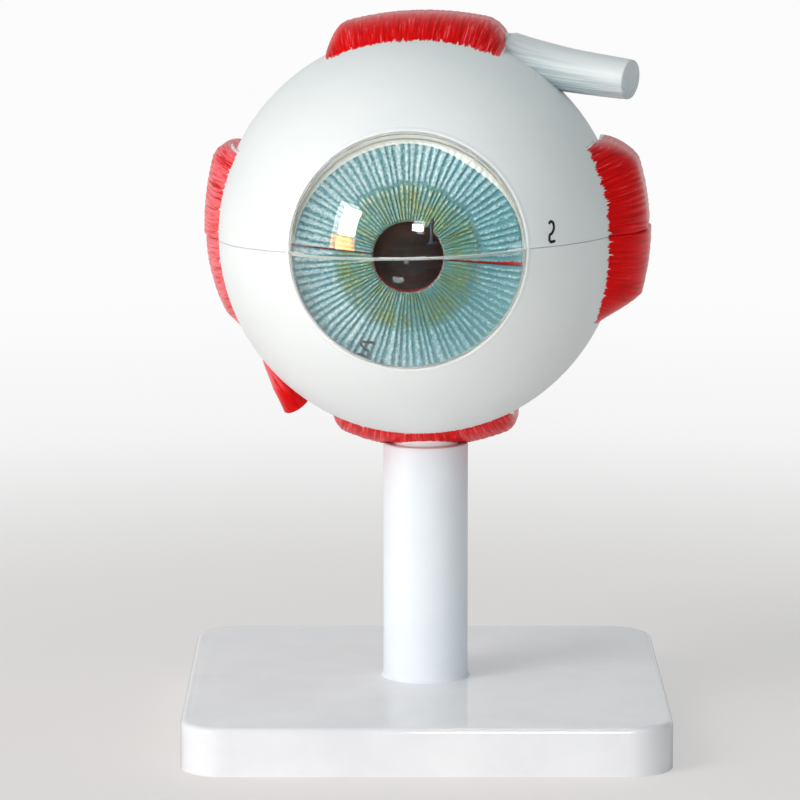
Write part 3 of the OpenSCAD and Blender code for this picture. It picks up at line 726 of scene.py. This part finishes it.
choroid_paint = enamel("dark_red_enamel", "#5d0b0d", "#8b1416", 220, 0.45)
retina_paint = enamel("orange_red_enamel", "#c4502a", "#d9703f", 160, 0.5)
front_cream = enamel("cream_white_plastic", "#f6f4ea", "#fcfaf3", 90, 0.4)

uvea_in = UVEA_R - UVEA_WALL
front_edge = math.acos(UVEA_FRONT / UVEA_R)
choroid_outline = (arc(UVEA_R, 0, front_edge, math.pi, 72)
                   + arc(uvea_in, 0, math.pi, math.acos((UVEA_FRONT - FRONT_WALL) / uvea_in), 64)
                   + [(WINDOW_R, UVEA_FRONT - FRONT_WALL), (WINDOW_R, UVEA_FRONT)])
for side, upper in HALVES.items():
    choroid = half_turn(choroid_outline, upper, UVEA_SEAM, 96)
    for face in choroid.faces:
        middle = face.calc_center_median()
        inside = middle.length <= uvea_in + 0.2
        on_front = -middle.y > UVEA_FRONT - 0.3
        if on_front or (not inside and -middle.y > UVEA_FRONT - UNPAINTED_EDGE):
            face.material_index = 2
        elif inside and abs(middle.z) > UVEA_SEAM:
            face.material_index = 1
    make_piece(f"{side}_choroid_shell", choroid, UVEA, f"{side}_uvea",
               [choroid_paint, retina_paint, front_cream], [f"{side}_choroid"])

# ---- Iris ----
# Two half discs of the inner ball's plastic, moulded with radial ridges and, in the upper one, a notched ring
# where the inner zone begins. They are painted blue-grey and wiped so that the ridges stay pale, with olive
# and ochre round the pupil. The upper one's cut edge is brushed dark red, and its rim is left unpainted.

IRIS_R = OPENING_R - 0.2
IRIS_T = 1.2
IRIS_BULGE = 1.3
PUPIL_R = 6.1
PAINT_ROUND_PUPIL = 0.12           # how far the dark red reaches out from the pupil's edge
RIDGES = 88
RIDGE_H = 0.3
COLLARETTE_R = 12.9
PAINTED_R = 20.4
# where the paint's edge draws in: by how much, at which degrees, and over what half width in degrees
PAINT_NOTCHES = ((1.0, 60, 20), (0.65, 120, 45))
GROOVE_TEAL = "#4e7f85"
MID_TEAL = "#80a4a9"
CREST_PALE = "#c3d2d4"
GROOVE_OLIVE = "#55764f"
MID_OLIVE = "#93a06a"
CREST_OLIVE = "#cbd3a6"
OCHRE = "#a58a36"
CUT_RED = "#8c0207"


def smooth(value, start, end):
    share = min(1, max(0, (value - start) / (end - start)))
    return share * share * (3 - 2 * share)


def iris_relief(turns, radius):
    """How far a place of the iris is from a groove, 0, to a crest, 1. Turns go once round from the nasal
    side."""
    wander = 0.32 * noise.noise(Vector((turns * RIDGES * 0.7, 0, 3.1)))
    sway = 0.14 * noise.noise(Vector((turns * RIDGES * 0.5, radius * 0.25, 7.7)))
    number = turns * RIDGES + wander + sway
    crest = 1 - smooth(abs(number % 1 - 0.5) * 2, 0.25, 0.9)
    ring = COLLARETTE_R + 0.7 * noise.noise(Vector((turns * RIDGES * 0.35, 0, 1.7)))
    notch = max(0, 1 - ((radius - ring) / 0.45) ** 2) * (1 if turns < 0.5 else 0.2)
    ends = max(0, 1 - ((radius - ring + 1.0) / 0.6) ** 2) * (0.45 if turns < 0.5 else 0)
    rim = smooth(radius, IRIS_R - 0.2, IRIS_R - 1.0)
    hole = smooth(radius, PUPIL_R, PUPIL_R + 0.8)
    return crest * (1 - notch) * (1 + ends) * rim * (0.3 + 0.7 * hole)


def iris_front(turns, radius):
    """How far ahead of the inner ball's middle the iris's surface lies."""
    inward = (IRIS_R - radius) / (IRIS_R - PUPIL_R)
    front = UVEA_FRONT + IRIS_T + IRIS_BULGE * inward - 0.35 * max(0, 1 - (IRIS_R - radius) / 0.5)
    front -= 0.3 * max(0, 1 - (radius - PUPIL_R) / 0.4) ** 2
    return front + RIDGE_H * (iris_relief(turns, radius) - 0.5)


iris_paint, add = new_material("wiped_blue_grey_enamel")
here = add("TexCoord").outputs["Object"]
# the crest attribute is the ridges' relief, darkened on the nasal side as painted shade and darker below
crest = add("Attribute", attribute_name="crest").outputs["Fac"]
bare_depth = add("Attribute", attribute_name="bare").outputs["Fac"]
red_depth = add("Attribute", attribute_name="red").outputs["Fac"]
place = add("UVMap", uv_map="iris")
radial = add("SeparateXYZ", {"Vector": place})
# dabs of the wiping rag, 0.4 mm across and 1 mm along the ridges, over grains of 0.3 mm
dab_map = add("Mapping", {"Vector": place, "Scale": (260, 22, 1)})
dabs = add("TexNoise", {"Vector": dab_map, "Scale": 1, "Detail": 3, "Roughness": 0.6})
grains = add("TexNoise", {"Vector": here, "Scale": 2600, "Detail": 2, "Roughness": 0.6})
patches = add("TexNoise", {"Vector": here, "Scale": 260, "Detail": 3})
zone = add("MapRange", {
    "Value": radial.outputs["Y"], "From Min": (COLLARETTE_R + 0.8) / IRIS_R,
    "From Max": (COLLARETTE_R - 1.4) / IRIS_R}, interpolation_type="SMOOTHSTEP")
worn = add("Math", {0: dabs, 1: 1.3, 2: -1.03}, operation="MULTIPLY_ADD")
grainy = add("Math", {0: grains, 1: 1.1, 2: worn}, operation="MULTIPLY_ADD")
raised = add("Math", {0: crest, 1: 0.52, 2: grainy}, operation="MULTIPLY_ADD")
level = add("Math", {0: zone, 1: -0.32, 2: raised}, operation="MULTIPLY_ADD")
teal = add("ValToRGB", {"Fac": level}, stops=[(0.1, GROOVE_TEAL), (0.42, MID_TEAL), (0.9, CREST_PALE)])
olive = add("ValToRGB", {"Fac": level}, stops=[(0.1, GROOVE_OLIVE), (0.42, MID_OLIVE), (0.85, CREST_OLIVE)])
lobes_map = add("Mapping", {"Vector": place, "Scale": (70, 4, 1)})
lobes = add("TexNoise", {"Vector": lobes_map, "Scale": 1, "Detail": 2, "Roughness": 0.5})
spread = add("Math", {0: lobes, 1: patches}, operation="ADD")
olive_share = add("MapRange", {
    "Value": spread, "From Min": 0.78, "From Max": 1.2, "To Min": 0.12, "To Max": 0.85})
olive_here = add("Math", {0: zone, 1: olive_share}, operation="MULTIPLY")
tinted = add("Mix", {0: olive_here, 6: teal, 7: olive}, data_type="RGBA")
ochre_share = add("MapRange", {
    "Value": dabs, "From Min": 0.52, "From Max": 0.68, "To Min": 0, "To Max": 0.75})
ochre_here = add("Math", {0: olive_here, 1: ochre_share}, operation="MULTIPLY")
warmed = add("Mix", {0: ochre_here, 6: tinted.outputs[2], 7: linear(OCHRE)}, data_type="RGBA")
bare_edge = add("Math", {0: dabs, 1: 0.4, 2: bare_depth}, operation="MULTIPLY_ADD")
bare = add("MapRange", {"Value": bare_edge, "From Min": 0.18, "From Max": 0.24})
unpainted = add("Mix", {0: bare, 6: warmed.outputs[2], 7: linear("#e9e8e0")}, data_type="RGBA")
red_edge = add("Math", {0: dabs, 1: 0.9, 2: red_depth}, operation="MULTIPLY_ADD")
red_here = add("MapRange", {"Value": red_edge, "From Min": 0.42, "From Max": 0.5})
iris_colour = add("Mix", {0: red_here, 6: unpainted.outputs[2], 7: linear(CUT_RED)}, data_type="RGBA")
lacquer = add("Bump", {"Height": grains, "Strength": 0.35, "Distance": 0.00015})
add("OutputMaterial", {"Surface": add("BsdfPrincipled", {
    "Base Color": iris_colour.outputs[2], "Normal": lacquer, "Roughness": 0.24, "IOR": 1.5})})

for side, upper in HALVES.items():
    iris = bmesh.new()
    bmesh.ops.create_grid(iris, x_segments=RIDGES // 2 * 14, y_segments=64, size=1)
    ridge_levels_with_painted_shade = iris.verts.layers.float.new("crest")
    bares = iris.verts.layers.float.new("bare")
    reds = iris.verts.layers.float.new("red")
    uv = iris.loops.layers.uv.new("iris")
    for v in iris.verts:
        turns = (v.co.x + 1) / 4 + (0 if upper else 0.5)
        radius = PUPIL_R + (IRIS_R - PUPIL_R) * (v.co.y + 1) / 2
        for loop in v.link_loops:
            loop[uv].uv = (turns, radius / IRIS_R)
        angle = 2 * math.pi * turns
        # the ridges are darkened on the nasal side, a painted shade where the light falls off, and are darker
        # below as well
        ridges_in_nasal_painted_shade = iris_relief(turns, radius) - 0.7 * max(0, math.cos(angle))
        v[ridge_levels_with_painted_shade] = ridges_in_nasal_painted_shade - 0.25 * max(0, -math.sin(angle))
        edge = PAINTED_R - sum(drawn_in * math.exp(-((turns * 360 - at) / half) ** 2)
                               for drawn_in, at, half in PAINT_NOTCHES)
        v[bares] = radius - edge if upper else -2
        # the red reaches up from the cut, most at the nasal end, and round the pupil's edge
        above_cut = abs(radius * math.sin(angle))
        outward = (radius - PUPIL_R) / (IRIS_R - PUPIL_R)
        brushed_cut = 0.14 + (0.7 if math.cos(angle) > 0 else 0.14) * outward - above_cut if upper else -2
        v[reds] = max(-1, brushed_cut, PAINT_ROUND_PUPIL - (radius - PUPIL_R))
        v.co = (radius * math.cos(angle), -iris_front(turns, radius), radius * math.sin(angle))
    rim = [e for e in iris.edges if e.is_boundary]
    walls = bmesh.ops.extrude_edge_only(iris, edges=rim)["geom"]
    for v in [g for g in walls if isinstance(g, bmesh.types.BMVert)]:
        v.co.y = -UVEA_FRONT - 0.02
        v[reds] = 0.6
    back_edges = [g for g in walls if isinstance(g, bmesh.types.BMEdge) and g.is_boundary]
    bmesh.ops.contextual_create(iris, geom=back_edges)
    bmesh.ops.recalc_face_normals(iris, faces=iris.faces)
    bmesh.ops.translate(iris, verts=iris.verts, vec=(0, 0, UVEA_SEAM / 2 if upper else -UVEA_SEAM / 2))
    make_piece(f"{side}_iris_disc", iris, UVEA, f"{side}_uvea", [iris_paint], [f"{side}_iris"],
               sharp=60)

# ---- Ciliary body ----
# A dark brown ring behind the iris, folded into fine pleats, that holds the lens by its rim.

CILIARY_R = 18.5
CILIARY_L = 6.6
LENS_R = 10
LENS_RIM = 1.2
LENS_FRONT_R = 16
LENS_BACK_R = 12
LENS_AT = UVEA_FRONT - 4.7
LIFT_GAP = 0.3
PLEATS = 70
PLEAT_H = 0.45


def lens_rise(bend, radius):
    """How far a lens face of that bend stands proud of its edge, at a radius."""
    return math.sqrt(bend ** 2 - radius ** 2) - math.sqrt(bend ** 2 - LENS_R ** 2)


front = UVEA_FRONT - FRONT_WALL
back = front - CILIARY_L
groove_r = LENS_R + LIFT_GAP
lip_r = LENS_R - 1
front_lip_r = lip_r + 0.6
groove_front = LENS_AT + LENS_RIM / 2 + LIFT_GAP
groove_back = LENS_AT - LENS_RIM / 2 - LIFT_GAP
waist = (CILIARY_R - 1, front - 2)
foot = (groove_r + 2.5, back)
ciliary_outline = [(front_lip_r, front), (CILIARY_R, front)]
ciliary_outline += [(waist[0] + (foot[0] - waist[0]) * n / 8, waist[1] + (foot[1] - waist[1]) * n / 8)
                    for n in range(9)]
ciliary_outline += [(lip_r, back), (lip_r, groove_back - lens_rise(LENS_BACK_R, lip_r)),
                    (groove_r, groove_back), (groove_r, groove_front),
                    (front_lip_r, groove_front + lens_rise(LENS_FRONT_R, front_lip_r))]
ciliary_paint = enamel("dark_brown_enamel", "#33140f", "#55261c", 300, 0.5)
for side, upper in HALVES.items():
    ciliary = half_turn(ciliary_outline, upper, UVEA_SEAM, PLEATS * 4)
    for v in ciliary.verts:
        radius = math.hypot(v.co.x, v.co.z)
        if radius > groove_r + 1 and -v.co.y < front - 1:
            wave = 0.5 + 0.5 * math.cos(PLEATS * math.atan2(v.co.z, v.co.x))
            v.co.x *= 1 - PLEAT_H * wave / radius
            v.co.z *= 1 - PLEAT_H * wave / radius
    make_piece(f"{side}_ciliary_ring", ciliary, UVEA, f"{side}_uvea", [ciliary_paint],
               [f"{side}_ciliary_body"])

# ---- Lens ----
# A clear acrylic lens, flatter in front than behind.

front_mid = LENS_AT + LENS_RIM / 2 - math.sqrt(LENS_FRONT_R ** 2 - LENS_R ** 2)
back_mid = LENS_AT - LENS_RIM / 2 + math.sqrt(LENS_BACK_R ** 2 - LENS_R ** 2)
lens_outline = (arc(LENS_FRONT_R, front_mid, 0, math.asin(LENS_R / LENS_FRONT_R), 32)
                + arc(LENS_BACK_R, back_mid, math.pi - math.asin(LENS_R / LENS_BACK_R), math.pi, 32))
lens = lathe(lens_outline, 128)
lens.transform(FACE_FORWARD)
lens_acrylic = clear_plastic("clear_acrylic_lens", "#f3f6f2")
make_piece("lens_blank", lens, UVEA, "lens", [lens_acrylic], ["lens"])

# ---- Vitreous body ----
# A clear ball that fills the inner eye, cut flat in front to clear the lens.

VITREOUS_R = uvea_in - 0.5
vitreous_front = LENS_AT - LENS_RIM / 2 - (LENS_BACK_R - math.sqrt(LENS_BACK_R ** 2 - LENS_R ** 2)) - 0.5
flat_r = math.sqrt(VITREOUS_R ** 2 - vitreous_front ** 2)
vitreous_outline = [(0, vitreous_front), (flat_r - 0.3, vitreous_front)]
vitreous_outline += arc(VITREOUS_R, 0, math.asin(flat_r / VITREOUS_R) + 0.01, math.pi, 96)
vitreous = lathe(vitreous_outline, 160)
vitreous.transform(FACE_FORWARD)
vitreous_acrylic = clear_plastic("clear_acrylic_ball", "#f2f7f8")
make_piece("vitreous_ball", vitreous, UVEA, "vitreous", [vitreous_acrylic],
           ["vitreous_body"])

# ---- Key numerals ----
# Small figures written by hand with a fine blue-black marker: 1 on the cornea, 2 on the white shell, and 5 on
# the lower iris. The ink stands a few hundredths of a millimetre proud.

INK_H = 0.04
INK_OVER_RIDGES = 0.2
STROKE_SIDES = 12                     # of a stroke of ink
STROKE_STEPS = 6
# Each figure's strokes: points of (right, up) in millimetres from its middle, each with the pen's half width.
FIGURE_1 = [
    [((0.32, 2.5), 0.16), ((0.24, 1.7), 0.34), ((0.06, 0.7), 0.36), ((-0.04, -0.3), 0.24),
     ((-0.06, -1.3), 0.28), ((-0.1, -2.1), 0.45)],
    [((0.2, 1.6), 0.2), ((-0.15, 1.0), 0.2), ((-0.62, 0.45), 0.14)],
    [((-0.95, -2.3), 0.24), ((0, -2.3), 0.36), ((1.1, -2.05), 0.22)]]
FIGURE_2 = [[((-0.68, 1.39), 0.27), ((-0.4, 1.75), 0.27), ((0, 1.88), 0.27), ((0.45, 1.78), 0.27),
             ((0.76, 1.44), 0.27), ((0.83, 0.84), 0.27), ((0.6, 0.32), 0.27), ((0, -0.27), 0.27),
             ((-0.6, -0.5), 0.27), ((-0.86, -0.9), 0.27), ((-0.88, -1.72), 0.27)],
            [((-0.86, -1.78), 0.27), ((0, -1.8), 0.27), ((0.68, -1.73), 0.27), ((0.86, -1.9), 0.23)]]
FIGURE_5 = [[((1.36, 1.12), 0.25), ((1.25, 1.46), 0.25), ((0.73, 1.54), 0.25), ((-0.1, 1.5), 0.25),
             ((-0.85, 1.46), 0.25), ((-0.98, 1.15), 0.25), ((-0.7, 0.7), 0.25), ((-0.4, 0.29), 0.25),
             ((0.05, 0.04), 0.25), ((0.5, 0.1), 0.25)], [((0.55, 0.12), 0.25), ((0.45, -0.4), 0.26),
                                                         ((0.33, -0.95), 0.26), ((0.22, -1.41), 0.25)],
            [((0.22, -1.3), 0.25), ((-0.55, -0.94), 0.26), ((-1.41, -0.77), 0.22)]]
RIGHT, UP = Vector((1, 0, 0)), Vector((0, 0, 1))

# Dried marker ink: nearly black, with a slight shine and fine unevenness where it soaked in.
marker_ink = mottled("blue_black_marker_ink", 4000, 2, (0.35, "#060a1c"), (0.65, "#10162e"),
                     {"Roughness": 0.35})


def on_ball(radius, middle):
    """A function that lifts a point on to a ball whose centre lies ahead of the eye's by middle."""
    centre = Vector((0, -middle, 0))
    return lambda point: centre + (point - centre).normalized() * (radius + INK_H / 2)


def on_iris(point):
    turns = math.atan2(point.z, point.x) / (2 * math.pi) % 1
    radius = math.hypot(point.x, point.z)
    return Vector((point.x, -iris_front(turns, radius) - INK_OVER_RIDGES, point.z))


def write_figure(name, strokes, middle, lay, place, body):
    """Lays a figure's strokes on a surface, each as a flat bar of ink."""
    figure = bmesh.new()
    for stroke in strokes:
        stations = [(lay(middle + RIGHT * right + UP * up), (half, INK_H)) for (right, up), half in stroke]
        outward = (lay(middle + RIGHT * 0.1) - lay(middle)).cross(UP).normalized()
        bar, _ = loft(stations, outward, STROKE_SIDES, STROKE_STEPS)
        join(figure, bar)
    make_piece(name, figure, place, body, [marker_ink])


write_figure("figure_1", FIGURE_1, Vector((5.3, -43, 4.65)), on_ball(DOME_R, DOME_MID), EYE, "upper_eyeball")
write_figure("figure_2", FIGURE_2, Vector((26.0, -27.1, 2.65)), on_ball(EYE_R, 0), EYE, "upper_eyeball")
write_figure("figure_5", FIGURE_5, Vector((-6.1, -28.4, -17.1)), on_iris, UVEA, "lower_uvea")

# ---- Floor, light and camera ----
# A plain pale floor that pales further out, a tall soft window at the front left, a low glow thrown up by the
# table and an even pale room. What the polished cornea mirrors of the window, the view through it and a
# ceiling lamp are lamps of their own that light nothing matt. The camera stands where the photograph was
# taken from.

FLOOR_R = 14                       # metres, as all places in this section
CAMERA_LENS = 202.5                # millimetres, for a sensor 36 wide
CAMERA_AT = (-0.00558, -0.8383, 0.1974)
CAMERA_TILT, CAMERA_PAN = 80.82, -0.05

# White paper, matt and slightly warm. The camera sees it glow evenly, so that it pales into the room.
paper, add = new_material("pale_paper_floor")
here = add("TexCoord").outputs["Object"]
reach = add("VectorMath", {0: here}, operation="LENGTH")
paling = add("ValToRGB", {"Fac": reach.outputs["Value"]}, stops=[
    (0.1, "#f3f2f2"), (0.2, "#f4f4f4"), (0.38, "#f6f6f6"), (0.58, "#fcfcfc")])
glow_share = add("MapRange", {
    "Value": reach.outputs["Value"], "From Min": 0.1, "From Max": 0.38, "To Min": 0.45,
    "To Max": 1}, interpolation_type="SMOOTHSTEP")


def seen_directly(add):
    """1 for what the camera sees, straight or in a mirror or through a clear wall, and 0 for the light on a
    matt surface."""
    ray = add("LightPath")
    mirrored = add("Math", {
        0: ray.outputs["Is Glossy Ray"], 1: ray.outputs["Is Transmission Ray"]}, operation="MAXIMUM")
    first = add("Math", {0: ray.outputs["Diffuse Depth"], 1: 0.5}, operation="LESS_THAN")
    clear = add("Math", {0: mirrored, 1: first}, operation="MULTIPLY")
    return ray, add("Math", {0: ray.outputs["Is Camera Ray"], 1: clear}, operation="MAXIMUM")


ray, seen = seen_directly(add)
backdrop = add("Math", {0: seen, 1: glow_share}, operation="MULTIPLY")
matt = add("BsdfPrincipled", {"Base Color": linear("#eae2de"), "Roughness": 0.6})
# in a mirror the floor is dim on the photographer's side
along = add("SeparateXYZ", {"Vector": here})
shade = add("MapRange", {
    "Value": along.outputs["Y"], "From Min": -0.1, "From Max": 0.3, "To Min": -0.85,
    "To Max": 0}, interpolation_type="SMOOTHSTEP")
mirrored = add("Math", {0: ray.outputs["Glossy Depth"], 1: 0.5}, operation="GREATER_THAN")
shown = add("Math", {0: mirrored, 1: shade, 2: 1}, operation="MULTIPLY_ADD")
glow = add("Emission", {"Color": paling, "Strength": shown})
add("OutputMaterial", {"Surface": add("MixShader", {0: backdrop, 1: matt, 2: glow})})
floor = bmesh.new()
bmesh.ops.create_circle(floor, cap_ends=True, radius=FLOOR_R, segments=96)
floor_mesh = bpy.data.meshes.new("floor")
floor.to_mesh(floor_mesh)
floor.free()
floor_mesh.materials.append(paper)
floor_object = bpy.data.objects.new("floor", floor_mesh)
bpy.context.scene.collection.objects.link(floor_object)

scene = bpy.context.scene
world = bpy.data.worlds.new("pale_room")
world.use_nodes = True
scene.world = world
world.node_tree.nodes.clear()
add = partial(add_node, world)
ray, seen = seen_directly(add)
# in a mirror the room is dim on the photographer's side and pale behind the object
direction = add("TexCoord")
away = add("SeparateXYZ", {"Vector": direction.outputs["Generated"]})
room = add("MapRange", {
    "Value": away.outputs["Y"], "From Min": 0.6, "From Max": 0.96, "To Min": 0.1,
    "To Max": 0.75}, interpolation_type="SMOOTHSTEP")
ambient = add("Background", {"Color": linear("#f1fafc"), "Strength": 0.485})
pale = add("Background", {"Color": linear("#fbfbfb"), "Strength": 1})
dim_room = add("Background", {"Strength": room, "Color": (1, 1, 1, 1)})
shown = add("MixShader", {0: ray.outputs["Glossy Depth"], 1: pale, 2: dim_room})
sky = add("MixShader", {0: seen, 1: ambient, 2: shown})
add("OutputWorld", {"Surface": sky})


def add_lamp(name, azimuth, elevation, distance, size, watts, colour, mirrored=False, matt=True):
    """A soft rectangular lamp that shines at the eye. Azimuth 0 is the side that the eye looks to. It lights
    matt surfaces, or is seen in mirrors and through clear walls, or both."""
    data = bpy.data.lights.new(name, "AREA")
    data.shape = "RECTANGLE"
    data.size, data.size_y = size
    data.energy = watts
    data.color = linear(colour)[:3]
    lamp = bpy.data.objects.new(name, data)
    lamp.visible_glossy = lamp.visible_transmission = mirrored
    lamp.visible_diffuse = matt
    lamp.visible_camera = False
    azimuth, elevation = math.radians(azimuth), math.radians(elevation)
    towards = Vector((math.sin(azimuth) * math.cos(elevation), -math.cos(azimuth) * math.cos(elevation),
                      math.sin(elevation)))
    target = Vector((0, 0, EYE_Z / 1000))
    lamp.location = target + towards * distance
    lamp.rotation_euler = (target - lamp.location).to_track_quat("-Z", "Y").to_euler()
    scene.collection.objects.link(lamp)


add_lamp("window", -52, 33, 1.5, (0.6, 0.9), 8.6, "#fffcfa")
add_lamp("window_pane", -59.5, 20.5, 1.5, (0.46, 0.55), 24, "#ffffff", mirrored=True, matt=False)
add_lamp("window_view", -59.5, 4, 1.5, (0.5, 0.26), 7, "#ffb45e", mirrored=True, matt=False)
add_lamp("table_bounce", -28, -9, 0.5, (0.5, 0.024), 0.76, "#ffffff")
add_lamp("lamp_bowl", 5.2, 21, 1.5, (0.24, 0.15), 9, "#f4faff", mirrored=True, matt=False)

camera_data = bpy.data.cameras.new("camera")
camera_data.lens = CAMERA_LENS
camera_data.sensor_width = 36
camera_data.clip_end = 100
camera = bpy.data.objects.new("camera", camera_data)
camera.location = CAMERA_AT
camera.rotation_euler = Euler((math.radians(CAMERA_TILT), 0, math.radians(CAMERA_PAN)))
scene.collection.objects.link(camera)
scene.camera = camera
scene.view_settings.view_transform = "Standard"
